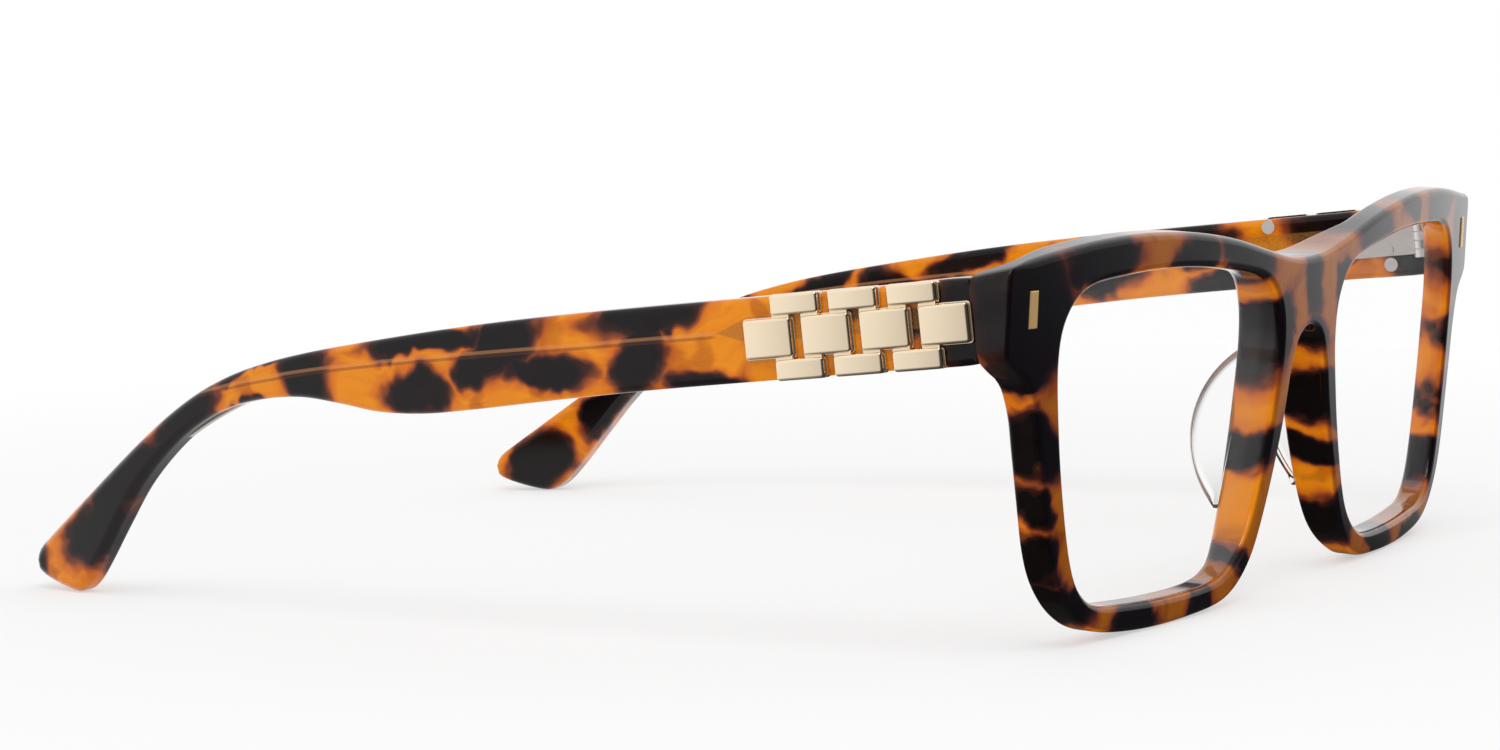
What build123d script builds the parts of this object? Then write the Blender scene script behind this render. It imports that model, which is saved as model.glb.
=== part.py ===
from build123d import *
import math
import os

os.makedirs("parts", exist_ok=True)

# Rectangular acetate eyeglasses with a link ornament on each temple.
# Millimetres. The glasses stand open on a table: +Z is up, the front faces -Y and the
# temples run towards +Y. The origin is the middle of the bounding box's bottom face.
# Left and right are the wearer's: left is the +X side.

# Lens openings and front
lens_width = 53.6
lens_height = 36.9
bridge_width = 16.8
rim_bottom = 3.1
rim_brow = 4.2
rim_nasal = 3.7
rim_side = 4.2
rim_thickness = 3.8
end_piece_reach = 9.5
end_piece_height = 9.9
end_piece_fall = 0.15
wrap_depth = 6.3
front_lean = 3.9
bridge_height = 8.4
dip_radius = 55.0
dip_turn = 13.0
arch_radius = 5.0
arch_turn = 76.0
rim_corner_radius = 12.0
nose_thickness = 6.4
nose_reach = 19.0
nose_blend_radius = 20.0
edge_bevel = 0.6
opening_edge_bevel = 0.3

# Lens
lens_thickness = 1.7
groove_depth = 0.9
lens_clearance = 0.05
groove_setback = 1.0

# Temple
temple_thickness = 4.1
temple_height = 9.0
temple_length = 136.8
temple_drop = 5.4
joint_gap = 0.1
joint_depth = 10.6
joint_face_margin = 1.0
temple_straight = 27.5
temple_bend_radius = 395.0
tip_corner_radius = 2.0
temple_edge_bevel = 0.6
tip_line_angle = 22.7
over_tip_angle = 58.0
under_tip_angle = 250.0
low_edge_slope = 0.012

# Link ornament
link_pitch = 7.0
link_length = 5.85
middle_link_height = 4.3
outer_link_height = 2.3
link_rise = 1.0
link_crown = 0.22
link_edge_bevel = 0.3
row_gap = 0.2
ornament_setback = 0.15
middle_link_count = 4
bridge_length = 1.1
bridge_rise = 0.45
ornament_boss_radius = 0.75
ornament_boss_depth = 2.0

# Ornament screws
ornament_screw_radius = 0.45
ornament_screw_head_radius = 0.92
ornament_screw_head_height = 0.5
ornament_screw_proud = 0.25
ornament_screw_end = 0.3

# Hinge
hinge_height = 5.6
hinge_rise = 0.6
knuckle_count = 5
knuckle_radius = 1.25
knuckle_gap = 0.08
pin_radius = 0.6
pin_clearance = 0.05
pin_head_radius = 0.95
pin_head_height = 0.45
hinge_inset = 1.45
front_leaf_width = 4.2
front_leaf_height = 7.0
front_leaf_thickness = 1.4
leaf_clearance = 0.1
temple_leaf_length = 9.9
temple_leaf_height = 4.8
temple_leaf_start = 1.6
temple_leaf_proud = 0.45
temple_leaf_sunk = 1.0
leaf_screw_radius = 0.4
leaf_screw_head_radius = 0.75
leaf_screw_head_height = 0.3

# Core wire inside each temple
core_thickness = 1.0
core_height = 1.6
core_leaf_height = 3.4
core_leaf_start = 3.0
core_leaf_end = 29.0
core_taper = 4.0
core_straight_end = 81.0
core_bend_radius = 69.0
core_bend_turn = 28.0
core_rise = 0.4

# Rivet bars in the front's corners
bar_width = 1.5
bar_height = 4.0
bar_proud = 0.15
bar_depth = 0.9
bar_inset = 4.35
bar_drop = 4.5
bar_shank_radius = 0.45
bar_shank_spacing = 2.2
bar_shank_setback = 0.3
bar_edge_bevel = 0.1

# Nose pads
pad_height = 17.7
pad_middle = 21.5
pad_root = 0.5
pad_depth = 4.0
pad_thickness = 2.4
pad_splay = 20.0
pad_cant = 21.0
pad_edge_bevel = 0.7

# One overrun serves every cut and construction block
overrun = 2.0

# Outlines as shares of the lens opening's box: inner top, outer top, outer bottom, inner bottom
opening_corner_shares = [(0.0, 0.895), (1.0, 0.955), (0.885, 0.035), (0.165, 0.02)]
opening_top_share = (0.52, 1.0)
opening_side_share = (0.978, 0.5)
opening_bottom_share = (0.5, 0.0)
opening_nasal_share = (0.035, 0.5)
opening_radius_shares = [0.21, 0.16, 0.19, 0.27]

# Rim corners and side, as shares of the same box with the rim's widths outside it
rim_inner_corner_share = (0.16, 0.032)
rim_outer_corner_share = (0.903, 0.042)
rim_side_top_share = (1.0, 0.614)
rim_side_middle_share = (0.966, 0.375)

# Temple edges: shares of the temple's length, and of its fall from the top edge to the tip
tip_low_share = 0.954
top_edge_shares = [
    (0.297, 0.0),
    (0.475, 0.02),
    (0.598, 0.061),
    (0.693, 0.119),
    (0.782, 0.256),
    (0.825, 0.361),
    (0.893, 0.559),
]
low_edge_shares = [
    (0.297, 0.339),
    (0.485, 0.363),
    (0.554, 0.347),
    (0.617, 0.280),
    (0.675, 0.252),
    (0.720, 0.277),
    (0.785, 0.439),
    (0.826, 0.592),
    (0.868, 0.812),
    (0.901, 0.987),
]

# Screw places: shares of the link pitch and temple height, and of the temple leaf
ornament_screw_shares = [(0.73, -0.328), (3.13, 0.383)]
leaf_screw_shares = [(0.37, -0.33), (0.80, 0.12)]

# Nose pad's seat as a share of the nasal rim's width
pad_seat_share = 0.35

# Faces of the front's plate: those whose normal lies at least this share along its own
plate_facing_share = 0.7

# Heights on the front as shares of its height
bridge_top_share = 0.885
brow_end_share = 0.948

# Sizes that follow
half_width = bridge_width / 2 + lens_width + end_piece_reach
front_height = rim_bottom + lens_height + rim_brow
wrap_radius = (half_width ** 2 + wrap_depth ** 2) / (2 * wrap_depth)
bridge_top = bridge_top_share * front_height
brow_end = brow_end_share * front_height
lens_left = bridge_width / 2
lean = math.radians(front_lean)
drop = math.radians(temple_drop)


def wrap_at(x, depth=0):
    """Depth behind the bridge of the curved layer that lies depth behind the front face."""
    return wrap_radius - math.sqrt((wrap_radius - depth) ** 2 - x ** 2)


# The front leans by front_lean. It stands on the lower front edge of its two rims.
rim_low_x = lens_left + opening_bottom_share[0] * lens_width
foot_lift = wrap_at(rim_low_x) * math.sin(lean)
foot_lift += edge_bevel * math.sin(lean)
end_piece_middle = brow_end - end_piece_height / 2
joint_z = end_piece_middle * math.cos(lean) - foot_lift - end_piece_fall

# Temple outline: tip corners in the temple's own axes, u along it and w up across it
tip_rear_u = temple_length - tip_corner_radius
tip_low_u = tip_low_share * temple_length


def floor_w(u, height):
    """Height w at which a point of the temple at u lies at the given height over the table."""
    return (height - joint_z + u * math.sin(drop)) / math.cos(drop)


tip_low = (tip_low_u, floor_w(tip_low_u, tip_corner_radius))
tip_rear = (
    tip_rear_u,
    tip_low[1] + (tip_rear_u - tip_low_u) * math.tan(math.radians(tip_line_angle)),
)

# The bounding box runs from the bridge's front to the temple tips
tip_reach_y = tip_rear[0] * math.cos(drop) + tip_rear[1] * math.sin(drop) + tip_corner_radius
bridge_y = -(joint_depth + tip_reach_y) / 2
joint_y = bridge_y + joint_depth
joint_origin = (0, joint_y, joint_z)

# Working planes
front_origin = (0, bridge_y + bridge_top * math.sin(lean), -foot_lift)
front_plane = Plane(
    origin=front_origin,
    x_dir=(1, 0, 0),
    z_dir=(0, -math.cos(lean), -math.sin(lean)),
)
front_plan = Plane(
    origin=front_origin,
    x_dir=(1, 0, 0),
    z_dir=(0, -math.sin(lean), math.cos(lean)),
)
temple_side = Plane(
    origin=joint_origin,
    x_dir=(0, math.cos(drop), -math.sin(drop)),
    z_dir=(1, 0, 0),
)
temple_plan = Plane(
    origin=joint_origin,
    x_dir=(1, 0, 0),
    z_dir=(0, math.sin(drop), math.cos(drop)),
)
temple_end = Plane(
    origin=joint_origin,
    x_dir=(1, 0, 0),
    z_dir=(0, -math.cos(drop), math.sin(drop)),
)
temple_inner_x = half_width - temple_thickness
pivot_x = temple_inner_x - hinge_inset


def opening_point(share, out_x=0, out_v=0):
    """Point of the front plane from shares of the lens opening's box."""
    return (
        lens_left + share[0] * lens_width + out_x,
        rim_bottom + share[1] * lens_height + out_v,
    )


def on_circle(center, radius, angle):
    """Point on a circle at an angle in degrees."""
    turn = math.radians(angle)
    return (center[0] + radius * math.cos(turn), center[1] + radius * math.sin(turn))


def lens_opening(grow=0):
    """Outline of one lens opening, grown outwards by the given amount."""
    corner_steps = [(-grow, grow), (grow, grow), (grow, -grow), (-grow, -grow)]
    corners = [opening_point(*place) for place in zip(opening_corner_shares, *zip(*corner_steps))]
    inner_top, outer_top, outer_bottom, inner_bottom = corners
    with BuildSketch(Plane.XY) as opening:
        with BuildLine():
            ThreePointArc(inner_top, opening_point(opening_top_share, 0, grow), outer_top)
            ThreePointArc(outer_top, opening_point(opening_side_share, grow), outer_bottom)
            ThreePointArc(outer_bottom, opening_point(opening_bottom_share, 0, -grow), inner_bottom)
            ThreePointArc(inner_bottom, opening_point(opening_nasal_share, -grow), inner_top)
        make_face()
        for corner, radius_share in zip(corners, opening_radius_shares):
            vertex = opening.vertices().sort_by_distance(Vector(*corner))[0]
            fillet(vertex, radius_share * lens_height + grow)
    return opening.sketch


def front_outline():
    """Outline of the whole front, seen square to it."""
    inner_corner = opening_point(rim_inner_corner_share, -rim_nasal / 2, -rim_bottom)
    outer_corner = opening_point(rim_outer_corner_share, rim_side, -rim_bottom)
    lowest = opening_point(opening_bottom_share, 0, -rim_bottom)
    side_middle = opening_point(rim_side_middle_share, rim_side)
    side_top = opening_point(rim_side_top_share, rim_side)
    brow_corner = (half_width, brow_end)
    end_corner = (half_width, brow_end - end_piece_height)
    with BuildSketch(Plane.XY) as outline:
        with BuildLine():
            dip = JernArc((0, bridge_top), (1, 0), dip_radius, dip_turn)
            TangentArc(dip @ 1, brow_corner, tangent=dip % 1)
            Line(brow_corner, end_corner)
            arch = JernArc((0, bridge_top - bridge_height), (1, 0), arch_radius, -arch_turn)
            TangentArc(arch @ 1, inner_corner, tangent=arch % 1)
            ThreePointArc(inner_corner, lowest, outer_corner)
            rim = ThreePointArc(outer_corner, side_middle, side_top)
            TangentArc(rim @ 1, end_corner, tangent=rim % 1)
            Line((0, bridge_top - bridge_height), (0, bridge_top))
        make_face()
        for corner in (inner_corner, outer_corner):
            fillet(outline.vertices().sort_by_distance(Vector(*corner))[0], rim_corner_radius)
        for corner in (brow_corner, end_corner):
            chamfer(outline.vertices().sort_by_distance(Vector(*corner))[0], temple_edge_bevel)
        mirror(about=Plane.YZ)
    return outline.sketch


def wrap_layer(near, far):
    """Plan section of the curved layer between two depths behind the front face."""
    reach = half_width + overrun
    with BuildSketch(Plane.XY) as layer:
        with BuildLine():
            ThreePointArc((-reach, wrap_at(reach, near)), (0, near), (reach, wrap_at(reach, near)))
            Line((reach, wrap_at(reach, near)), (reach, wrap_at(reach, far)))
            ThreePointArc((reach, wrap_at(reach, far)), (0, far), (-reach, wrap_at(reach, far)))
            Line((-reach, wrap_at(reach, far)), (-reach, wrap_at(reach, near)))
        make_face()
    return layer.sketch


def plate_depth_at(x):
    """Depth behind the bridge of the plate's rear face, on the arc of the nose bulge."""
    foot = wrap_at(nose_reach, rim_thickness)
    rise = nose_thickness - foot
    radius = (nose_reach ** 2 + rise ** 2) / (2 * rise)
    return nose_thickness - radius + math.sqrt(radius ** 2 - x ** 2)


def plate_layer():
    """Plan section of the front's plate, with the bulge that carries the nose pads."""
    foot = wrap_at(nose_reach, rim_thickness)
    with BuildSketch(Plane.XY) as layer:
        add(wrap_layer(0, rim_thickness))
        with BuildLine():
            ThreePointArc((-nose_reach, foot), (0, nose_thickness), (nose_reach, foot))
            Polyline((-nose_reach, foot), (0, rim_thickness / 2), (nose_reach, foot))
        make_face()
        for side in (1, -1):
            vertex = layer.vertices().sort_by_distance(Vector(side * nose_reach, foot))[0]
            fillet(vertex, nose_blend_radius)
    return layer.sketch


def brow_end_turn():
    """Angle in degrees at which the brow's arc runs down into the end piece."""
    turn = math.radians(dip_turn)
    rise = brow_end - bridge_top - dip_radius * (1 - math.cos(turn))
    run = half_width - dip_radius * math.sin(turn)
    return dip_turn - 2 * math.degrees(math.atan2(rise, run))


def temple_band(outer, inner, reach):
    """Plan section of a temple layer, its two faces set in from the temple's outer face."""
    turn = math.asin((reach - temple_straight) / temple_bend_radius)
    middle = turn / 2
    with BuildSketch(Plane.XY) as layer:
        with BuildLine():
            ends = []
            for inset in (outer, inner):
                radius = temple_bend_radius - inset
                x = half_width - inset
                start = (x, temple_straight)
                half = (
                    x - radius * (1 - math.cos(middle)),
                    temple_straight + radius * math.sin(middle),
                )
                end = (
                    x - radius * (1 - math.cos(turn)),
                    temple_straight + radius * math.sin(turn),
                )
                Line((x, 0), start)
                ThreePointArc(start, half, end)
                ends.append(((x, 0), end))
            Line(ends[0][0], ends[1][0])
            Line(ends[0][1], ends[1][1])
        make_face()
    return layer.sketch


def temple_outline():
    """Side view of a temple: straight shank, belly, neck and flared tip."""
    half_height = temple_height / 2
    end_angle = -90 + tip_line_angle
    under_angle = under_tip_angle
    over_angle = over_tip_angle
    rear_top = on_circle(tip_rear, tip_corner_radius, over_angle)
    rear_end = on_circle(tip_rear, tip_corner_radius, end_angle)
    low_end = on_circle(tip_low, tip_corner_radius, end_angle)
    low_under = on_circle(tip_low, tip_corner_radius, under_angle)
    fall = half_height - tip_low[1]
    top = [(u * temple_length, half_height - w * fall) for u, w in top_edge_shares]
    low = [(u * temple_length, half_height - w * fall) for u, w in low_edge_shares]
    over = math.radians(over_angle)
    under = math.radians(under_angle)
    with BuildSketch(Plane.XY) as outline:
        with BuildLine():
            Line((0, half_height), top[0])
            Spline(*top, rear_top, tangents=[(1, 0), (math.sin(over), -math.cos(over))])
            CenterArc(tip_rear, tip_corner_radius, end_angle, over_angle - end_angle)
            Line(rear_end, low_end)
            CenterArc(tip_low, tip_corner_radius, under_angle, end_angle + 360 - under_angle)
            Spline(
                *low,
                low_under,
                tangents=[(1, -low_edge_slope), (-math.sin(under), math.cos(under))],
            )
            Line((0, -half_height), low[0])
            Line((0, -half_height), (0, half_height))
        make_face()
    return outline.sketch


def core_outline():
    """Side view of a core wire: front leaf, taper, straight wire and the bend over the ear."""
    half = core_height / 2
    leaf_half = core_leaf_height / 2
    turn = math.radians(core_bend_turn)
    centre = (core_straight_end, -core_bend_radius)
    outer = core_bend_radius + half
    inner = core_bend_radius - half
    with BuildSketch(Plane.XY) as outline:
        with BuildLine():
            Line((core_leaf_start, leaf_half), (core_leaf_end, leaf_half))
            Line((core_leaf_end, leaf_half), (core_leaf_end + core_taper, half))
            Line((core_leaf_end + core_taper, half), (core_straight_end, half))
            CenterArc(centre, outer, 90 - core_bend_turn, core_bend_turn)
            top_end = on_circle(centre, outer, 90 - core_bend_turn)
            low_end = on_circle(centre, inner, 90 - core_bend_turn)
            Line(top_end, low_end)
            CenterArc(centre, inner, 90 - core_bend_turn, core_bend_turn)
            Line((core_straight_end, -half), (core_leaf_end + core_taper, -half))
            Line((core_leaf_end + core_taper, -half), (core_leaf_end, -leaf_half))
            Line((core_leaf_end, -leaf_half), (core_leaf_start, -leaf_half))
            Line((core_leaf_start, -leaf_half), (core_leaf_start, leaf_half))
        make_face()
    return outline.sketch


def end_top_wedge(side):
    """Wedge above an end piece, whose under face runs from the brow to the temple's top."""
    slope = math.radians(brow_end_turn())
    front_top = front_plane.from_local_coords(Vector(half_width, brow_end, -wrap_depth))
    temple_top = temple_side.from_local_coords(Vector(0, temple_height / 2, 0))
    fall = (temple_top.Z - front_top.Z) / (temple_top.Y - front_top.Y)
    wedge_plane = Plane(
        origin=(side * half_width, front_top.Y, front_top.Z),
        x_dir=(0, 1, 0),
        z_dir=(math.cos(slope), 0, -side * math.sin(slope)),
    )
    run = joint_depth * 2
    with BuildPart() as wedge:
        with BuildSketch(wedge_plane):
            with BuildLine():
                Polyline((-run, -run * fall), (run, run * fall), (run, run), (-run, run), close=True)
            make_face()
        extrude(amount=lens_width / 2, both=True)
    return wedge.part


def plate_edges(frame, facing):
    """Edges round the plate's front (facing 1) or rear (facing -1), without its creases."""
    faces = [
        face
        for face in frame.faces()
        if facing * face.normal_at().dot(front_plane.z_dir) > plate_facing_share
    ]
    edges = [edge for face in faces for edge in face.edges()]
    return [edge for edge in edges if sum(edge.is_same(other) for other in edges) == 1]


def face_plane(x, v):
    """Plane on the front's curved face at a point, its normal pointing forwards."""
    turn = math.degrees(math.asin(x / wrap_radius))
    return Plane(front_plane.location * Pos(x, v, -wrap_at(x)) * Rot(0, turn, 0))


# Places that several pieces share
lens_near = groove_setback + lens_clearance
lens_far = lens_near + lens_thickness
knuckle_height = (hinge_height - (knuckle_count - 1) * knuckle_gap) / knuckle_count
knuckle_step = knuckle_height + knuckle_gap
hinge_low = hinge_rise - hinge_height / 2
leaf_face = knuckle_radius + leaf_clearance
temple_leaf_x = temple_inner_x - temple_leaf_proud
core_inset = temple_thickness - temple_leaf_sunk
leaf_screw_places = [
    (temple_leaf_start + u * temple_leaf_length, hinge_rise + w * temple_leaf_height)
    for u, w in leaf_screw_shares
]
ornament_screw_places = [(u * link_pitch, w * temple_height) for u, w in ornament_screw_shares]

leaf_x = temple_inner_x - leaf_clearance - front_leaf_width / 2

# Rivet bar: a gold bar let into the face, with two shanks that reach the hinge leaf
with BuildPart() as left_rivet_bar:
    bar_plane = face_plane(half_width - bar_inset, brow_end - bar_drop)
    with BuildSketch(bar_plane.offset(-bar_depth)):
        Rectangle(bar_width, bar_height)
    extrude(amount=bar_depth + bar_proud)
    bar_top = left_rivet_bar.faces().sort_by(Axis(bar_plane.origin, bar_plane.z_dir))[-1]
    chamfer(bar_top.edges(), bar_edge_bevel)
    with BuildSketch(bar_plane.offset(-bar_depth)):
        with GridLocations(0, bar_shank_spacing, 1, 2):
            Circle(bar_shank_radius)
    extrude(amount=-(rim_thickness - bar_depth - bar_shank_setback))

# Front hinge: a leaf sunk in the front's rear face, with the outer knuckles
with BuildPart() as left_front_hinge:
    with BuildSketch(temple_end.offset(leaf_face)):
        with Locations((leaf_x, hinge_rise)):
            Rectangle(front_leaf_width, front_leaf_height)
    extrude(amount=front_leaf_thickness)
    for turn in range(0, knuckle_count, 2):
        with BuildSketch(temple_plan.offset(hinge_low + turn * knuckle_step)):
            with Locations((pivot_x, 0)):
                Circle(knuckle_radius)
            with Locations((pivot_x, -leaf_face / 2)):
                Rectangle(2 * knuckle_radius, leaf_face + knuckle_gap)
        extrude(amount=knuckle_height)
    with BuildSketch(temple_plan.offset(hinge_low - overrun)):
        with Locations((pivot_x, 0)):
            Circle(pin_radius + pin_clearance)
    extrude(amount=hinge_height + 2 * overrun, mode=Mode.SUBTRACT)
    add(left_rivet_bar.part, mode=Mode.SUBTRACT)

# Hinge screw: the pin through all the knuckles, its head on the top one
with BuildPart() as left_hinge_screw:
    with BuildSketch(temple_plan.offset(hinge_low)):
        with Locations((pivot_x, 0)):
            Circle(pin_radius)
    extrude(amount=hinge_height)
    with BuildSketch(temple_plan.offset(hinge_low + hinge_height)):
        with Locations((pivot_x, 0)):
            Circle(pin_head_radius)
    extrude(amount=pin_head_height)

# Blocks behind the front's face, from which the end pieces are cut
with BuildPart() as end_blocks:
    with BuildSketch(front_plane):
        add(front_outline())
    extrude(amount=-2 * joint_depth)
    with BuildSketch(front_plan.offset(-overrun)):
        block_start = wrap_depth + rim_thickness / 2
        with Locations((0, block_start + joint_depth / 2)):
            with GridLocations(temple_inner_x + half_width, 0, 2, 1):
                Rectangle(temple_thickness, joint_depth)
    extrude(amount=front_height + 2 * overrun, mode=Mode.INTERSECT)

# Lens grooves as solids: each opening grown by the groove's depth
with BuildPart() as grooves:
    with BuildSketch(front_plane):
        add(lens_opening(groove_depth))
        mirror(about=Plane.YZ)
    extrude(amount=-2 * joint_depth)
    with BuildSketch(front_plan.offset(-overrun)):
        add(wrap_layer(groove_setback, lens_far + lens_clearance))
    extrude(amount=front_height + 2 * overrun, mode=Mode.INTERSECT)

# Front: the curved acetate plate with its lens openings and end pieces
with BuildPart() as front_frame:
    with BuildSketch(front_plane):
        add(front_outline())
        add(lens_opening(), mode=Mode.SUBTRACT)
        mirror(lens_opening(), about=Plane.YZ, mode=Mode.SUBTRACT)
    extrude(amount=-2 * joint_depth)
    with BuildSketch(front_plan.offset(-overrun)):
        add(plate_layer())
    extrude(amount=front_height + 2 * overrun, mode=Mode.INTERSECT)
    chamfer(plate_edges(front_frame, -1), edge_bevel)
    front_face = front_frame.faces().sort_by(SortBy.AREA)[-1]
    openings = [edge for wire in front_face.inner_wires() for edge in wire.edges()]
    chamfer(openings, opening_edge_bevel)
    front_face = front_frame.faces().sort_by(SortBy.AREA)[-1]
    chamfer(front_face.outer_wire().edges(), edge_bevel)
    add(end_blocks.part)
    for side in (1, -1):
        add(end_top_wedge(side), mode=Mode.SUBTRACT)
    # Joint faces: each end piece is cut square to its temple, past the temple's low edge
    with BuildSketch(temple_end.offset(joint_gap)):
        with Locations((0, front_height / 2 - temple_height / 2 - joint_face_margin)):
            with GridLocations(2 * half_width, 0, 2, 1):
                Rectangle(2 * (half_width - leaf_x) + front_leaf_width, front_height)
    extrude(amount=-2 * joint_depth, mode=Mode.SUBTRACT)
    add(grooves.part, mode=Mode.SUBTRACT)
    # Hinge pockets, open to the rear, with room for the knuckles that turn in them
    with BuildSketch(temple_end.offset(leaf_face)):
        with Locations((0, hinge_rise)):
            with GridLocations(2 * leaf_x, 0, 2, 1):
                pocket_width = front_leaf_width + 2 * leaf_clearance
                pocket_height = front_leaf_height + 2 * leaf_clearance
                Rectangle(pocket_width, pocket_height)
    extrude(amount=-leaf_face, mode=Mode.SUBTRACT)
    for piece in (left_rivet_bar, left_front_hinge):
        add(piece.part, mode=Mode.SUBTRACT)
        mirror(piece.part, about=Plane.YZ, mode=Mode.SUBTRACT)

with BuildPart() as left_lens:
    with BuildSketch(front_plane):
        add(lens_opening(groove_depth - lens_clearance))
    extrude(amount=-2 * joint_depth)
    with BuildSketch(front_plan.offset(-overrun)):
        add(wrap_layer(lens_near, lens_far))
    extrude(amount=front_height + 2 * overrun, mode=Mode.INTERSECT)

# Nose pad: a clear fin on the rear of the nasal rim, opening towards the rear
with BuildPart() as left_nose_pad:
    pad_x = lens_left + pad_seat_share * rim_nasal
    pad_seat = Pos(pad_x, pad_middle, -plate_depth_at(pad_x))
    pad_turn = Rot(0, 0, pad_cant) * Rot(0, 90 - pad_splay, 0)
    pad_plane = Plane(front_plane.location * pad_seat * pad_turn)
    half_pad = pad_height / 2
    with BuildSketch(pad_plane):
        with BuildLine():
            ThreePointArc((0, half_pad), (pad_depth, 0), (0, -half_pad))
            Polyline((0, half_pad), (-pad_root, half_pad), (-pad_root, -half_pad), (0, -half_pad))
        make_face()
    extrude(amount=pad_thickness / 2, both=True)
    chamfer(left_nose_pad.edges().filter_by(GeomType.CIRCLE), pad_edge_bevel)
    add(front_frame.part, mode=Mode.SUBTRACT)

# Screws that hold the temple's hinge leaf: flat heads, shanks into the core wire's leaf
with BuildPart() as left_hinge_leaf_screws:
    with BuildSketch(temple_side.offset(temple_leaf_x - leaf_screw_head_height / 2)):
        with Locations(*leaf_screw_places):
            Circle(leaf_screw_head_radius)
    extrude(amount=leaf_screw_head_height)
    with BuildSketch(temple_side.offset(temple_leaf_x)):
        with Locations(*leaf_screw_places):
            Circle(leaf_screw_radius)
    extrude(amount=temple_leaf_proud + temple_leaf_sunk + core_thickness)

# Temple hinge: a leaf let into the temple's inner face, with the inner knuckles
with BuildPart() as left_temple_hinge:
    with BuildSketch(temple_side.offset(temple_leaf_x)):
        with Locations((temple_leaf_start + temple_leaf_length / 2, hinge_rise)):
            Rectangle(temple_leaf_length, temple_leaf_height)
    extrude(amount=temple_leaf_proud + temple_leaf_sunk)
    for turn in range(1, knuckle_count, 2):
        web = hinge_inset + temple_leaf_sunk
        with BuildSketch(temple_plan.offset(hinge_low + turn * knuckle_step)):
            with Locations((pivot_x, 0)):
                Circle(knuckle_radius)
            with Locations((pivot_x + web / 2, temple_leaf_start)):
                Rectangle(web, 2 * (temple_leaf_start - knuckle_gap))
        extrude(amount=knuckle_height)
    with BuildSketch(temple_plan.offset(hinge_low - overrun)):
        with Locations((pivot_x, 0)):
            Circle(pin_radius + pin_clearance)
    extrude(amount=hinge_height + 2 * overrun, mode=Mode.SUBTRACT)
    add(left_hinge_leaf_screws.part, mode=Mode.SUBTRACT)

# Core wire: stiffens the temple, its front leaf lies behind the hinge leaf
with BuildPart() as left_core_wire:
    with BuildSketch(temple_side.offset(temple_inner_x / 2)):
        with Locations((0, core_rise)):
            add(core_outline())
    extrude(amount=half_width)
    with BuildSketch(temple_plan.offset(-front_height)):
        add(temple_band(core_inset - core_thickness, core_inset, temple_length))
    extrude(amount=2 * front_height, mode=Mode.INTERSECT)
    add(left_hinge_leaf_screws.part, mode=Mode.SUBTRACT)

# Ornament screws: from the temple's inner face into the ornament's bosses
with BuildPart() as left_ornament_screws:
    screw_face = temple_side.offset(temple_inner_x - ornament_screw_proud)
    with BuildSketch(screw_face):
        with Locations(*ornament_screw_places):
            Circle(ornament_screw_head_radius)
    extrude(amount=ornament_screw_head_height)
    with BuildSketch(screw_face):
        with Locations(*ornament_screw_places):
            Circle(ornament_screw_radius)
    extrude(amount=temple_thickness + ornament_screw_proud - ornament_screw_end)


def link(height):
    """One pillow-shaped link, centred on its base: length along X, height along Y."""
    half = link_length / 2
    shoulder = link_rise - link_crown
    with BuildPart() as pillow:
        with BuildSketch(Plane.XZ.offset(-height / 2)):
            with BuildLine():
                ThreePointArc((-half, shoulder), (0, link_rise), (half, shoulder))
                Polyline((-half, shoulder), (-half, 0), (half, 0), (half, shoulder))
            make_face()
        extrude(amount=height)
        chamfer(pillow.faces().sort_by(Axis.Z)[-1].edges(), link_edge_bevel)
    return pillow.part


# Link ornament: one casting of three rows of links, joined under the seams of the rows
with BuildPart() as left_link_ornament:
    outer_face = temple_side.offset(half_width)
    outer_row = middle_link_height / 2 + row_gap + outer_link_height / 2
    seam = (middle_link_height + row_gap) / 2
    first = ornament_setback + link_length / 2
    middle_link = link(middle_link_height)
    outer_link = link(outer_link_height)
    for turn in range(middle_link_count):
        add(middle_link.moved(outer_face.location * Pos(first + turn * link_pitch, 0, 0)))
    for turn in range(middle_link_count - 1):
        u = first + turn * link_pitch + link_pitch / 2
        for side in (1, -1):
            add(outer_link.moved(outer_face.location * Pos(u, side * outer_row, 0)))
            with BuildSketch(outer_face):
                with Locations((u, side * seam)):
                    with GridLocations(link_pitch / 2, 0, 2, 1):
                        Rectangle(bridge_length, row_gap + 2 * link_edge_bevel)
            extrude(amount=bridge_rise)
    with BuildSketch(outer_face):
        with Locations(*ornament_screw_places):
            Circle(ornament_boss_radius)
    extrude(amount=-ornament_boss_depth)
    add(left_ornament_screws.part, mode=Mode.SUBTRACT)

# Temple arm: a bent acetate bar with bevelled edges, cut out for what it holds
with BuildPart() as left_temple_arm:
    with BuildSketch(temple_side.offset(temple_inner_x / 2)):
        add(temple_outline())
    extrude(amount=half_width)
    with BuildSketch(temple_plan.offset(-front_height)):
        add(temple_band(0, temple_thickness, temple_length + overrun))
    extrude(amount=2 * front_height, mode=Mode.INTERSECT)
    rise_axis = Axis(temple_plan.origin, temple_plan.z_dir)
    long_edges = left_temple_arm.edges().filter_by(Axis.X, reverse=True)
    chamfer(long_edges.filter_by(rise_axis, reverse=True), temple_edge_bevel)
    for piece in (
        left_core_wire,
        left_temple_hinge,
        left_hinge_leaf_screws,
        left_link_ornament,
        left_ornament_screws,
    ):
        add(piece.part, mode=Mode.SUBTRACT)

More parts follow.
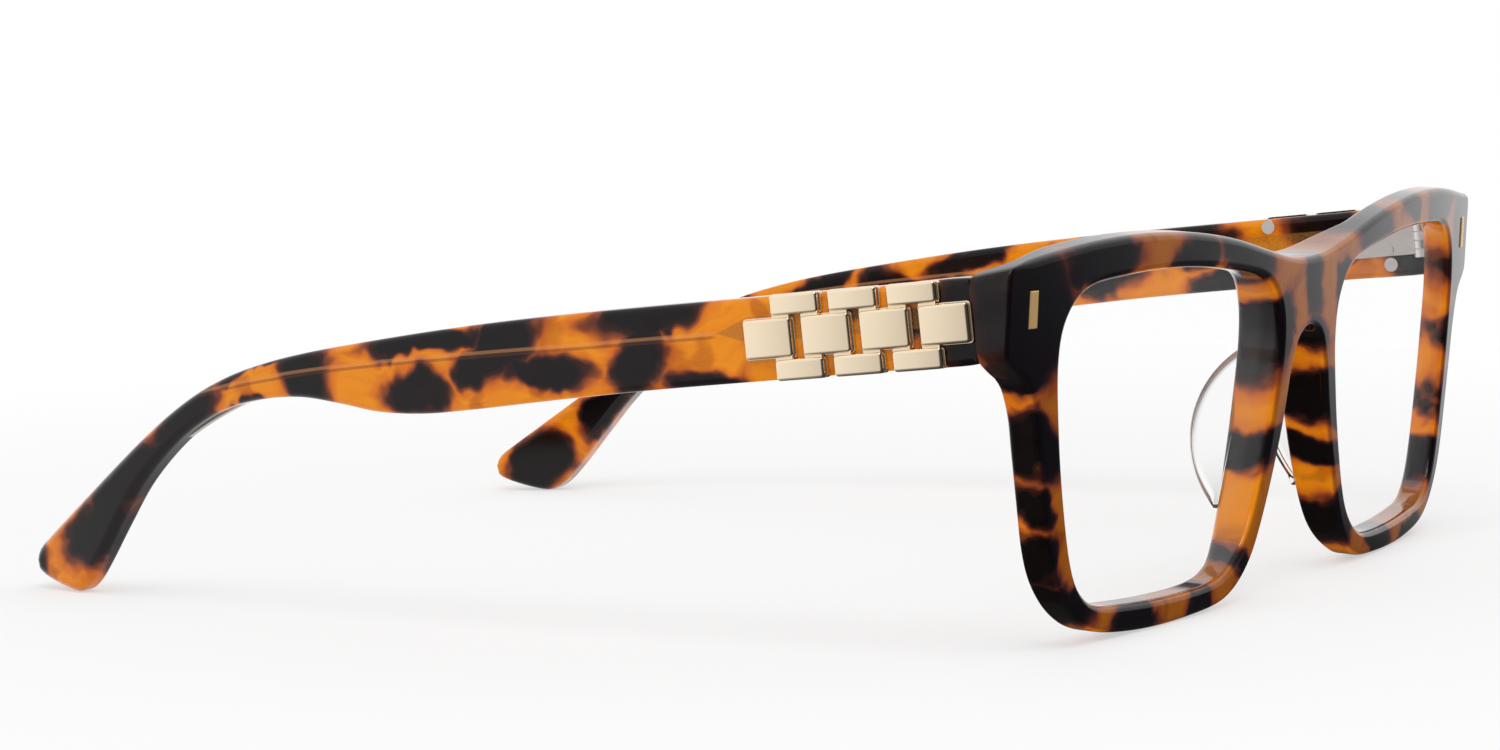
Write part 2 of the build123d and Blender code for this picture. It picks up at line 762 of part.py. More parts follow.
left_pieces = {
    "lens": left_lens,
    "nose_pad": left_nose_pad,
    "rivet_bar": left_rivet_bar,
    "front_hinge": left_front_hinge,
    "hinge_screw": left_hinge_screw,
    "temple_arm": left_temple_arm,
    "core_wire": left_core_wire,
    "temple_hinge": left_temple_hinge,
    "hinge_leaf_screws": left_hinge_leaf_screws,
    "link_ornament": left_link_ornament,
    "ornament_screws": left_ornament_screws,
}
front_frame.part.label = "front_frame"
export_step(front_frame.part, "parts/front_frame.step")
for name, left_piece in left_pieces.items():
    with BuildPart() as right_piece:
        mirror(left_piece.part, about=Plane.YZ)
    left_piece.part.label = "left_" + name
    right_piece.part.label = "right_" + name
    for piece in (left_piece, right_piece):
        export_step(piece.part, "parts/" + piece.part.label + ".step")

print("front", 2 * half_width, "wide,", front_height, "high; pivot", pivot_x, joint_y, joint_z)
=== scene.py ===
"""Rectangular eyeglasses of tortoiseshell acetate, with gold links on the temples."""

import math

import bpy
import numpy as np
from mathutils import Matrix, Vector
from mathutils.geometry import delaunay_2d_cdt


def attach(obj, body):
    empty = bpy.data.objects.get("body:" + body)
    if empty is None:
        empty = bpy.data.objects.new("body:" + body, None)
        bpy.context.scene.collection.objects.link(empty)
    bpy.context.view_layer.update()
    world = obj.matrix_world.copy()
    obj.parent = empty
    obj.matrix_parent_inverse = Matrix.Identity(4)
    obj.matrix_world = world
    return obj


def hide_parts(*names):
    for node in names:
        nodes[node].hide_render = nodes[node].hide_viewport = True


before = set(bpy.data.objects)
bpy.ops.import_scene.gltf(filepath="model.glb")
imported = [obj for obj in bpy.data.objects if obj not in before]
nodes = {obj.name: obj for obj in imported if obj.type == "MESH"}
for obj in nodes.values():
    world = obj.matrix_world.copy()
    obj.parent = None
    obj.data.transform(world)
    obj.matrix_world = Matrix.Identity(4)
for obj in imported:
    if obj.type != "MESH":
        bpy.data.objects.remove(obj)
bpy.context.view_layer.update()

# The frame is in metres, +Z up, and the front faces -Y. Sizes of the glasses are in millimetres.
MM = 0.001

# The front: place of its foot, its lean, the radius of its wrap and its thickness
FRONT_FOOT = np.array([0.0, -69.771, -0.142])
LEAN = math.radians(3.9)
WRAP_RADIUS = 408.88
RIM_THICKNESS = 3.8

# The bulge behind the nose: its depth, the radius of its arc, and its blend into the rim
NOSE_THICKNESS = 6.4
NOSE_ARC_RADIUS = 84.87
NOSE_BLEND = 0.5

# The end pieces: where the rear steps back to the joint face, outwards and upwards, and that face
BLOCK_STEP = (67.35, 67.9)
BLOCK_FOOT = (28.0, 30.5)
JOINT_DEPTH = 10.32
JOINT_SLOPE = 0.1637
JOINT_LEVEL = 36.09

# The end pieces fall with depth towards the joint, the top steeper than the underside:
# the depth and run where that starts, the level and height of the end piece, and the slopes
FALL_DEPTH = 6.3
FALL_RUN = (60.0, 68.0)
FALL_UNDERSIDE_LEVEL = 32.0
FALL_HEIGHT = 9.9
FALL_TOP = 0.285
FALL_UNDERSIDE = 0.1

# Rounding of the front's edges, less at the outer corners and at the joint face
FRONT_ROUND = 0.9
CORNER_LOSS = 0.45
CORNER_RUN = (67.0, 70.0)
JOINT_ROUND = 0.1
JOINT_RUN = (65.0, 67.4)
JOINT_RISE = (29.0, 31.0)

# The temples: half width over both, pivot height and place, fall, and the bend towards the head
HALF_WIDTH = 71.5
JOINT = np.array([0.0, -61.832, 36.572])
TEMPLE_DROP = math.radians(5.4)
TEMPLE_THICKNESS = 4.1
BEND_START = 27.5
BEND_RADIUS = 395.0

# Rounding of a temple's edges, fuller towards the tip
TEMPLE_ROUND = 0.85
TIP_GAIN = 0.5
TIP_RUN = (95.0, 126.0)
TEMPLE_JOINT_RUN = (0.0, 0.12)

# The links: pitch, and size, rise, crown and roundings of one
LINK_PITCH = 7.0
LINK_LENGTH = 5.85
LINK_FIRST = 0.15 + LINK_LENGTH / 2
LINK_RISE = 1.0
LINK_CROWN = 0.16
LINK_CORNER = 0.42
LINK_EDGE = 0.34
LINK_ROOT = 0.4
LINK_ROOT_EDGE = 0.03

# Their rows, and the flanges and bars that join them
SEAM = 0.2
MIDDLE_HEIGHT = 4.3
OUTER_HEIGHT = 2.3
OUTER_ROW = MIDDLE_HEIGHT / 2 + SEAM + OUTER_HEIGHT / 2
MIDDLE_COUNT = 4
OUTER_COUNT = 3
FLANGE_MARGIN = 0.36
FLANGE_RISE = 0.3
BAR_LENGTH = 2.1
BAR_HEIGHT = 0.9
BAR_RISE = 0.7
BAR_CORNER = 0.15
LOW_EDGE = 0.06

# The nose pads: size, place on the rear of the nasal rim (x, v, out), and the way they stand
PAD_HEIGHT = 19.4
PAD_REACH = 4.4
PAD_THICKNESS = 2.4
PAD_ROOT = 0.5
PAD_ROOT_INSET = 0.1
PAD_ROOT_ROUND = 0.1
PAD_ROUND_GAIN = 0.9
PAD_ROUND_RUN = (0.0, 1.0)
PAD_SEAT = np.array([9.9, 19.4, -5.844])
PAD_AXES = np.array([(0.319, 0.1226, -0.940), (-0.358, 0.934, 0.0), (0.877, 0.337, 0.342)])

# Fineness of the meshes: steps round an edge, and spacing on a face and along a loop
EDGE_STEPS = 5
LINK_EDGE_STEPS = 4
SPLINE_STEP = 0.9
FRONT_SPACING = 1.6
TEMPLE_SPACING = 2.5
LINK_SPACING = 0.7
LINK_STEP = 0.6
LINK_CORNER_TURNS = (0, 30, 60, 90)
PAD_SPACING = 1.0
PAD_STEP = 0.8
PAD_ARC_POINTS = 40
# What a grid point keeps clear of a loop, as a share of the spacing
CLEARANCE = 0.35
# Distance at which two points count as one, and the step that measures a slope
MEETING_SLACK = 1e-6
TINY = 0.02
# Columns of points across the step from rim to end piece
STEP_COLUMNS = (67.2, 67.45, 67.62, 67.8, 68.1)

# Half of the front's outline, from the bridge's top over the brow to the arch: x, v
FRONT_HALF = [
    (5.34, 39.38), (12.37, 40.53), (22.58, 42.5), (32.91, 43.75), (43.3, 44.26), (53.7, 44.03),
    (64.05, 43.06), (70.3, 42.12), (71.15, 41.85), (71.5, 41.1), (71.5, 36.95), (71.5, 32.9),
    (71.25, 32.15), (70.6, 31.65), (67.47, 29.45), (65.5, 25.76), (64.55, 21.99), (62.65, 14.44),
    (61.6, 10.67), (60.2, 7.6), (58.1, 5.0), (55.5, 2.95), (52.6, 1.55), (49.4, 0.8),
    (43.1, 0.2), (36.53, 0.0), (29.96, 0.12), (23.4, 0.51), (20.19, 1.16), (17.23, 2.57),
    (14.69, 4.64), (12.74, 7.27), (9.51, 13.57), (6.88, 20.14), (4.85, 26.93), (3.08, 29.66),
]
FRONT_TOP = (0.0, 39.12)
FRONT_ARCH = (0.0, 30.72)
# The opening for a lens, round from the nose's top: x, v
OPENING = [
    (15.04, 37.62), (11.58, 35.97), (9.33, 32.87), (8.84, 29.07), (9.97, 22.7), (11.78, 16.47),
    (14.24, 10.48), (16.08, 7.66), (18.6, 5.44), (21.62, 3.96), (24.92, 3.33), (35.72, 3.11),
    (46.52, 3.55), (50.11, 3.84), (53.09, 4.72), (55.52, 6.64), (57.06, 9.35), (59.13, 16.61),
    (60.53, 24.04), (61.24, 31.56), (60.51, 35.15), (58.13, 37.95), (54.7, 39.25), (47.48, 39.86),
    (40.24, 40.07), (33.0, 39.87), (25.78, 39.27),
]
# Side view of a temple, from the joint along its top edge to the tip and back: u, w
TEMPLE = [
    (0.12, 4.5), (12.0, 4.5), (25.0, 4.5), (40.6, 4.5), (52.4, 4.39), (64.2, 4.05), (76.0, 3.4),
    (87.9, 2.5), (93.8, 1.75), (99.7, 0.6), (105.3, -1.15), (110.7, -3.5), (115.9, -6.25),
    (121.0, -9.2), (126.1, -12.25), (131.2, -15.3), (135.0, -17.6), (136.8, -18.8), (137.6, -20.2),
    (137.4, -21.5), (136.2, -22.4), (131.3, -24.24), (129.9, -24.3), (128.3, -23.5), (126.2, -21.6),
    (121.4, -16.5), (117.1, -12.1), (112.1, -8.3), (106.8, -5.3), (100.9, -3.25), (94.8, -2.45),
    (88.8, -2.55), (83.2, -3.55), (77.3, -4.85), (70.9, -5.4), (64.8, -5.35), (52.7, -4.95),
    (40.6, -4.65), (25.0, -4.57), (12.0, -4.53), (0.12, -4.5), (0.0, -4.35), (0.0, 0.0), (0.0, 4.35),
]

# Dense spots on the temples: place (u, w), half length, half height, and turn in degrees
RIGHT_TEMPLE_SPOTS = [
    (-1.0, 0.0, 5.5, 8.0, 0), (13.6, 3.6, 1.6, 1.3, 0), (7.6, 1.0, 1.8, 1.6, 90),
    (20.5, -4.2, 1.4, 1.2, 0), (32.5, -4.3, 4.4, 1.7, 6), (39.5, 3.7, 6.8, 1.7, -6),
    (41.3, -1.4, 4.4, 3.6, -40), (53.0, -1.8, 5.6, 2.2, 8), (58.6, 1.8, 5.2, 3.2, -25),
    (70.0, 2.9, 8.0, 1.2, -4), (71.0, -2.9, 5.0, 2.5, 8), (62.8, -0.6, 2.6, 2.2, 0),
    (87.2, -0.2, 3.9, 3.4, -10), (93.0, 2.2, 8.0, 0.9, -12), (96.0, -3.2, 4.5, 0.9, -4),
    (108.5, -4.8, 6.5, 2.6, -33), (116.5, -10.2, 6.5, 3.0, -38), (122.6, -14.8, 6.5, 3.4, -40),
    (127.4, -18.0, 4.8, 2.9, -25), (136.4, -20.6, 1.7, 2.4, 20),
]
LEFT_TEMPLE_SPOTS = [
    (-1.0, 0.0, 6.0, 8.0, 0), (14.0, 2.0, 5.0, 3.0, 20), (27.0, -3.2, 6.0, 2.0, -5),
    (33.0, 2.5, 6.0, 2.6, 10), (46.0, 0.5, 5.5, 3.6, -20), (59.0, -2.2, 5.0, 2.5, 5),
    (66.0, 2.6, 5.5, 1.8, -12), (77.0, -1.2, 4.2, 3.0, 30), (88.0, 1.0, 4.8, 1.9, -20),
    (97.0, -2.0, 4.0, 1.7, 0), (105.0, -1.6, 4.2, 2.0, -30), (113.0, -8.6, 5.4, 2.4, -35),
    (121.0, -13.2, 4.6, 2.8, -42), (131.5, -20.5, 4.2, 3.4, -15),
]
# The same on the front: x, v
FRONT_SPOTS = [
    (-67.0, 36.5, 7.5, 7.5, 0), (-54.0, 42.2, 7.5, 2.6, -2), (-33.0, 41.0, 5.0, 3.4, 0),
    (-19.5, 40.2, 6.5, 3.2, -12), (-8.5, 30.5, 2.4, 5.6, -10), (-68.0, 29.3, 3.6, 1.5, 15),
    (-64.5, 22.3, 4.6, 2.3, -35), (-62.3, 15.8, 1.7, 2.7, 20), (-62.0, 9.4, 4.0, 2.7, -30),
    (-57.0, 5.0, 4.4, 2.2, -30), (-42.5, 1.6, 4.6, 1.9, 0), (-28.0, 1.9, 3.2, 1.9, 0),
    (-10.6, 17.6, 4.4, 1.9, 15), (-16.0, 5.0, 2.4, 1.9, -35), (0.5, 29.3, 4.4, 2.2, 0),
    (0.0, 36.0, 2.2, 4.8, 10), (7.2, 21.8, 4.8, 2.3, -20), (9.6, 15.2, 3.6, 1.9, 5),
    (14.5, 6.0, 4.2, 2.3, -30), (30.0, 1.8, 4.6, 1.8, 0), (45.0, 1.5, 4.0, 1.8, 0),
    (58.5, 6.5, 4.2, 3.2, 35), (62.0, 16.0, 2.9, 3.9, 0), (64.0, 25.0, 2.8, 4.0, -10),
    (67.5, 36.5, 6.4, 7.2, 0), (53.0, 42.2, 6.4, 2.5, 4), (38.0, 42.2, 3.6, 2.3, 0),
    (22.0, 40.3, 6.2, 2.9, 10), (9.5, 35.5, 2.4, 3.2, 0),
]
# Middle and half depth of the front's spots; the temples' spots run right through
FRONT_SPOT_MIDDLE = 4.0
FRONT_SPOT_DEPTH = 9.0
TEMPLE_SPOT_DEPTH = 400.0

# The core wire, as seen on a temple's side: level, where it starts to fall, and its ends
CORE_LEVEL = 1.0
CORE_FALL_START = 50.0
CORE_FALL = 2.4e-7
CORE_START = (30.5, 31.5)
CORE_END = (106.0, 103.0)
CORE_LINE = (0.26, 0.12)
CORE_SHADE_BELOW = 0.42
CORE_SHADE_LINE = (0.24, 0.1)
# The wider leaf at its front: half height, taper, and ends
LEAF_HALF_HEIGHT = 1.3
LEAF_TAPER_START = 27.0
LEAF_TAPER = 0.36
LEAF_START = (3.0, 4.0)
LEAF_END = (31.6, 31.0)
LEAF_SOFTNESS = (0.1, -0.1)

# Camera, at the viewing angle of the photograph
CAMERA_PLACE = Vector((-493.25, JOINT[1] - 200.891, 73.48)) * MM
CAMERA_AZIMUTH = math.radians(-61.66)
CAMERA_ELEVATION = math.radians(5.15)
CAMERA_ROLL = math.radians(-1.15)
SENSOR_WIDTH = 36.0
LENS_LENGTH = 107.55
CLIP_START = 0.01

# Surroundings, in metres: a floor that shows less plain white near the glasses, and one lamp
WHITE = (1, 1, 1, 1)
FLOOR_HALF = 3.0
FLOOR_COLOUR = (0.93, 0.93, 0.93, 1)
FLOOR_WHITE_NEAR = 0.52
FLOOR_WHITE_RUN = (0.08, 0.32)
FILL_STRENGTH = 0.8
KEY_PLACE = Vector((-0.5, -0.3, 1.0))
KEY_AIM = Vector((0, 0, 0.02))
KEY_SIZE = 0.7
KEY_POWER = 3.0
# The side of the surroundings that polish mirrors dim: its direction, reach and strength
DIM_WAY = (-0.259, -0.966, 0.03)
DIM_REACH = (-0.35, 0.88)
DIM_SHARE = 0.96

# Acetate colours, from the densest spots to the clearest honey
DENSE = (0.0055, 0.0032, 0.0034, 1)
BROWN = (0.040, 0.011, 0.007, 1)
RUSSET = (0.26, 0.055, 0.016, 1)
ORANGE = (0.70, 0.17, 0.008, 1)
HONEY = (0.85, 0.27, 0.006, 1)
# Where each colour stands, from 0 at a spot's middle to 0.5 at its edge and beyond
SPOT_STOPS = [(0.41, DENSE), (0.50, BROWN), (0.575, RUSSET), (0.655, ORANGE), (0.80, HONEY)]
# How softly two spots flow together
SPOT_JOIN = 0.08

# Noises that bend the pattern: scale, shift in millimetres, and detail
BROAD_BEND = (0.13, 4.5, 0.0)
FINE_BEND = (0.45, 2.2, 0.8)
VEIL_BEND = (0.4, 2.0, 1.0)

# Clouds make spots wider and narrower. A veil and streaks tint the honey between them.
CLOUD_SCALE = 0.16
CLOUD_DETAIL = 2.0
CLOUD_SHARE = 0.5
VEIL_SCALE = 0.2
VEIL_DETAIL = 1.0
VEIL_LEVELS = (0.56, 0.68)
VEIL_SHARE = 0.40
VEIL_COLOUR = (0.30, 0.06, 0.015, 1)
STREAK_STRETCH = {"x": (0.6, 0.12, 0.35), "y": (0.3, 0.12, 1.0)}
STREAK_SCALE = 1.3
STREAK_DETAIL = 3.0
STREAK_ROUGHNESS = 0.55
STREAK_LEVELS = (0.42, 0.7)
STREAK_SHARE = 0.20
STREAK_COLOUR = (0.62, 0.30, 0.12, 1)

# Painted shade on the front: its face and top are painted greyer than its sides, for how the light
# falls on them
FACE_SHADE_LEVELS = (0.45, 0.85)
FACE_SHADE_SHARE = 0.85
FACE_SHADE_TINT = (0.30, 0.26, 0.9, 1)
SIDE_SLANT = 0.7

# Polish of the acetate
ACETATE_ROUGHNESS = 0.08
ACETATE_IOR = 1.48
FACE_SPECULAR = 0.85
SIDE_SPECULAR = 0.3
TEMPLE_SPECULAR = 0.25

# The core wire and its leaf through the acetate: colours and strengths
WIRE_COLOUR = (0.72, 0.30, 0.12, 1)
WIRE_SHARE = 0.34
WIRE_SHADE = (0.09, 0.03, 0.02, 1)
WIRE_SHADE_SHARE = 0.45
LEAF_COLOURS = ((0.20, 0.075, 0.012, 1), (0.42, 0.18, 0.04, 1))
LEAF_SHARE = 0.5
HATCH_SCALE = 6.0
HATCH_DETAIL = 2.0
HATCH_LEVELS = (0.4, 0.6)

# Metals and clear plastics
GOLD = (0.95, 0.79, 0.58, 1)
BAR_GOLD = (0.80, 0.52, 0.22, 1)
SILVER = (0.72, 0.71, 0.70, 1)
STEEL = (0.5, 0.47, 0.42, 1)
GRAIN_SCALE = 2.6
GRAIN_DETAIL = 3.0
GRAIN_SHADE = 0.7
GRAIN_ROUGHNESS = 0.05
LENS_TINT = (0.97, 0.98, 0.98, 1)
PAD_TINT = (0.98, 0.98, 0.975, 1)
CLEAR_IOR = 1.49
HAZE_SCALE = 0.3
HAZE_DETAIL = 2.0
HAZE_ROUGHNESS = 0.01

# The two faces of a shell
FRONT, REAR = 0, 1


def smooth_step(low, high, value):
    """0 up to low, 1 from high on, and a smooth rise between."""
    t = np.clip((value - low) / (high - low), 0, 1)
    return t * t * (3 - 2 * t)


def wrap(x, depth=0.0):
    """Depth of the curved layer that lies depth behind the front face."""
    return WRAP_RADIUS - np.sqrt((WRAP_RADIUS - depth) ** 2 - x**2)


def front_rear(x, v):
    """Depth of the front's rear face: rim, nose bulge and end pieces."""
    rim = wrap(x, RIM_THICKNESS)
    bulge = NOSE_THICKNESS - NOSE_ARC_RADIUS + np.sqrt(NOSE_ARC_RADIUS**2 - x**2)
    near = np.maximum(NOSE_BLEND - np.abs(rim - bulge), 0) / NOSE_BLEND
    sheet = np.maximum(rim, bulge) + near**2 * NOSE_BLEND / 4
    joint = JOINT_DEPTH + JOINT_SLOPE * (v - JOINT_LEVEL)
    share = smooth_step(*BLOCK_STEP, np.abs(x)) * smooth_step(*BLOCK_FOOT, v)
    return sheet * (1 - share) + joint * share


def on_front(x, v, depth):
    """Point of the frame at a place on the leaning front, depth behind the bridge."""
    y = FRONT_FOOT[1] - v * math.sin(LEAN) + depth * math.cos(LEAN)
    z = FRONT_FOOT[2] + v * math.cos(LEAN) + depth * math.sin(LEAN)
    return np.stack([x, y, z], -1)


def front_at(x, v, depth):
    """Point of the front, whose end pieces fall with depth."""
    late = np.maximum(depth - FALL_DEPTH, 0) * smooth_step(*FALL_RUN, np.abs(x))
    high = np.clip((v - FALL_UNDERSIDE_LEVEL) / FALL_HEIGHT, 0, 1)
    return on_front(x, v - late * (FALL_TOP * high + FALL_UNDERSIDE * (1 - high)), depth)


def temple_at(side):
    """Point of a temple: u along it, w up it, depth in from its outer face."""

    def place(u, w, depth):
        radius = BEND_RADIUS - depth
        turn = np.arcsin(np.maximum(u - BEND_START, 0) / radius)
        x = HALF_WIDTH - depth - radius * (1 - np.cos(turn))
        y = JOINT[1] + u * math.cos(TEMPLE_DROP) + w * math.sin(TEMPLE_DROP)
        z = JOINT[2] - u * math.sin(TEMPLE_DROP) + w * math.cos(TEMPLE_DROP)
        return np.stack([side * x, y, z], -1)

    return place


def even(size):
    """A depth or rounding that is the same all over."""
    return lambda a, b: np.full(np.shape(a), size, float)


def between(first, second, low, high, at):
    """Value at a place between low and high, where the first and second values stand."""
    return (first * (high - at) + second * (at - low)) / (high - low)


def spline(points, step=SPLINE_STEP):
    """Closed centripetal Catmull-Rom curve through the points, divided evenly."""
    points = np.array(points, float)
    count = len(points)
    out = []
    for i in range(count):
        p = [points[(i + k) % count] for k in (-1, 0, 1, 2)]
        t = [0.0]
        for first, second in zip(p, p[1:]):
            t.append(t[-1] + np.linalg.norm(second - first) ** 0.5)
        parts = max(1, round(np.linalg.norm(p[2] - p[1]) / step))
        for at in t[1] + (t[2] - t[1]) * np.arange(parts) / parts:
            a = [between(p[k], p[k + 1], t[k], t[k + 1], at) for k in range(3)]
            b = [between(a[k], a[k + 1], t[k], t[k + 2], at) for k in range(2)]
            out.append(between(b[0], b[1], t[1], t[2], at))
    return np.array(out)


def mirrored(points):
    """The points on the other side of the bridge."""
    return [(-x, v) for x, v in points]


def divide(loop, step):
    """The loop with its long runs divided."""
    out = []
    for p, q in zip(loop, np.roll(loop, -1, 0)):
        parts = max(1, round(np.linalg.norm(q - p) / step))
        out += [p + (q - p) * k / parts for k in range(parts)]
    return np.array(out)


def turned(loop, way):
    """The loop, running counterclockwise (way 1) or clockwise (way -1)."""
    x, y = loop.T
    area = np.sum(x * np.roll(y, -1) - y * np.roll(x, -1))
    return loop if area * way > 0 else loop[::-1]


def unit(vectors):
    """The vectors at length 1."""
    return vectors / np.linalg.norm(vectors, axis=1)[:, None]


def inward(loop):
    """Unit vectors from each loop point into the material, on its left."""
    ahead = unit(np.roll(loop, -1, 0) - loop)
    along = unit(ahead + np.roll(ahead, 1, 0))
    return np.stack([-along[:, 1], along[:, 0]], -1)


def inside(points, loops):
    """Which points lie in the material, by the crossings of a ray with all loops."""
    odd = np.zeros(len(points), bool)
    for loop in loops:
        for p, q in zip(loop, np.roll(loop, -1, 0)):
            if p[1] == q[1]:
                continue
            hit = (points[:, 1] > p[1]) != (points[:, 1] > q[1])
            cross = p[0] + (points[:, 1] - p[1]) * (q[0] - p[0]) / (q[1] - p[1])
            odd ^= hit & (points[:, 0] < cross)
    return odd


def grid_points(loops, spacing, columns):
    """Points of a grid, and of extra columns, that lie in the material and clear of its loops."""
    every = np.concatenate(loops)
    low, high = every.min(0), every.max(0)
    a_values = np.concatenate([np.arange(low[0], high[0], spacing), columns])
    b_values = np.arange(low[1], high[1], spacing)
    a, b = np.meshgrid(a_values, b_values)
    points = np.stack([a.ravel(), b.ravel()], -1)
    points = points[inside(points, loops)]
    near = np.array([np.min(np.sum((every - p) ** 2, 1)) for p in points])
    return points[near > (CLEARANCE * spacing) ** 2]


class Shell:
    """Front and rear face of a piece: the points at places a, b on them, and their normals."""

    def __init__(self, place, front, rear):
        self.place = place
        self.depths = (front, rear)

    def at(self, face, a, b, sink=0.0):
        depth = self.depths[face](a, b)
        return self.place(a, b, depth + sink if face == FRONT else depth - sink)

    def face_normals(self, face, a, b):
        point = self.at(face, a, b)
        out = unit(np.cross(self.at(face, a + TINY, b) - point, self.at(face, a, b + TINY) - point))
        front = self.depths[FRONT](a, b)
        behind = self.place(a, b, front + 1.0) - self.place(a, b, front)
        sign = np.sign(np.sum(out * behind, 1)) * (-1 if face == FRONT else 1)
        return out * sign[:, None]

    def wall_normals(self, face, a, b, into):
        inner = self.place(a + into[:, 0] * TINY, b + into[:, 1] * TINY, self.depths[face](a, b))
        return unit(self.at(face, a, b) - inner)


def edge_rings(loop, front_round, rear_round, steps):
    """Rings round a loop, from the front face over both rounded edges to the rear face."""
    into = inward(loop)
    rings = []
    for face, rounding in ((FRONT, front_round), (REAR, rear_round)):
        radius = rounding(loop[:, 0], loop[:, 1])
        for k in range(steps + 1):
            turn = math.pi / 2 * (k if face == FRONT else steps - k) / steps
            flat = loop + into * (radius * (1 - math.sin(turn)))[:, None]
            rings.append((face, turn, flat, radius * (1 - math.cos(turn)), into))
    return rings


def cap_cells(loops, fill):
    """Triangles that fill an outline round its holes, over the loops' points and then the fill."""
    points = np.concatenate(loops + [fill])
    edges, start = [], 0
    for loop in loops:
        edges += [(start + j, start + (j + 1) % len(loop)) for j in range(len(loop))]
        start += len(loop)
    corners = [Vector(point) for point in points]
    _, _, cells, origin, _, _ = delaunay_2d_cdt(corners, edges, [], 0, MEETING_SLACK)
    cells = [[origin[corner][0] for corner in cell] for cell in cells]
    centres = np.array([points[cell].mean(0) for cell in cells])
    return [cell for cell, held in zip(cells, inside(centres, loops)) if held]


def outwards(cell, points, normals):
    """The cell with its corners in the order that faces its normals."""
    p, q, r = (points[i] for i in (cell[0], cell[1], cell[-1]))
    out = sum(normals[i] for i in cell)
    return tuple(cell) if np.dot(np.cross(q - p, r - p), out) > 0 else tuple(reversed(cell))


def plate(loops, front, rear, place, front_round, rear_round, spacing, columns=(), steps=EDGE_STEPS):
    """Closed shell with rounded edges, as its points, faces and normals.

    The first loop is its outline and the others are holes. The functions front and rear give the
    depths of its faces, and place gives the point at a place on the piece and a depth.
    """
    shell = Shell(place, front, rear)
    loops = [turned(np.array(loop), 1 if i == 0 else -1) for i, loop in enumerate(loops)]
    rings = [ring for loop in loops for ring in edge_rings(loop, front_round, rear_round, steps)]
    points, normals, faces, starts = [], [], [], []
    total = 0
    for face, turn, flat, sink, into in rings:
        a, b = flat.T
        starts.append(total)
        total += len(flat)
        points.append(shell.at(face, a, b, sink))
        normal = math.cos(turn) * shell.face_normals(face, a, b)
        normal += math.sin(turn) * shell.wall_normals(face, a, b, into)
        normals.append(unit(normal))
    per_loop = 2 * (steps + 1)
    for i, loop in enumerate(loops):
        for k in range(i * per_loop, (i + 1) * per_loop - 1):
            for j in range(len(loop)):
                step = (j + 1) % len(loop)
                low, high = starts[k], starts[k + 1]
                faces.append((low + j, high + j, high + step, low + step))
    for face, last in ((FRONT, 0), (REAR, per_loop - 1)):
        picks = [i * per_loop + last for i in range(len(loops))]
        edges = [rings[pick][2] for pick in picks]
        fill = grid_points(edges, spacing, columns)
        index = [starts[pick] + j for pick, edge in zip(picks, edges) for j in range(len(edge))]
        index += range(total, total + len(fill))
        total += len(fill)
        points.append(shell.at(face, *fill.T))
        normals.append(shell.face_normals(face, *fill.T))
        faces += [[index[corner] for corner in cell] for cell in cap_cells(edges, fill)]
    points, normals = np.concatenate(points), np.concatenate(normals)
    return points, [outwards(cell, points, normals) for cell in faces], normals


def joined(shells):
    """Several shells as one, with their faces numbered on."""
    faces, start = [], 0
    for points, cells, _ in shells:
        faces += [tuple(start + corner for corner in cell) for cell in cells]
        start += len(points)
    all_points = np.concatenate([points for points, _, _ in shells])
    return all_points, faces, np.concatenate([normals for _, _, normals in shells])


def new_piece(name, points, faces, normals):
    """An object from points in millimetres, shaded smoothly by its normals."""
    mesh = bpy.data.meshes.new(name)
    mesh.from_pydata((points * MM).tolist(), [], faces)
    mesh.update()
    mesh.polygons.foreach_set("use_smooth", [True] * len(mesh.polygons))
    mesh.normals_split_custom_set_from_vertices([tuple(normal) for normal in normals])
    piece = bpy.data.objects.new(name, mesh)
    bpy.context.scene.collection.objects.link(piece)
    return piece


def dress(piece, body, replaced, finish):
    """Give a piece its finish and put it on its body, in place of a CAD node."""
    piece.data.materials.append(finish)
    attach(piece, body)
    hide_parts(replaced)


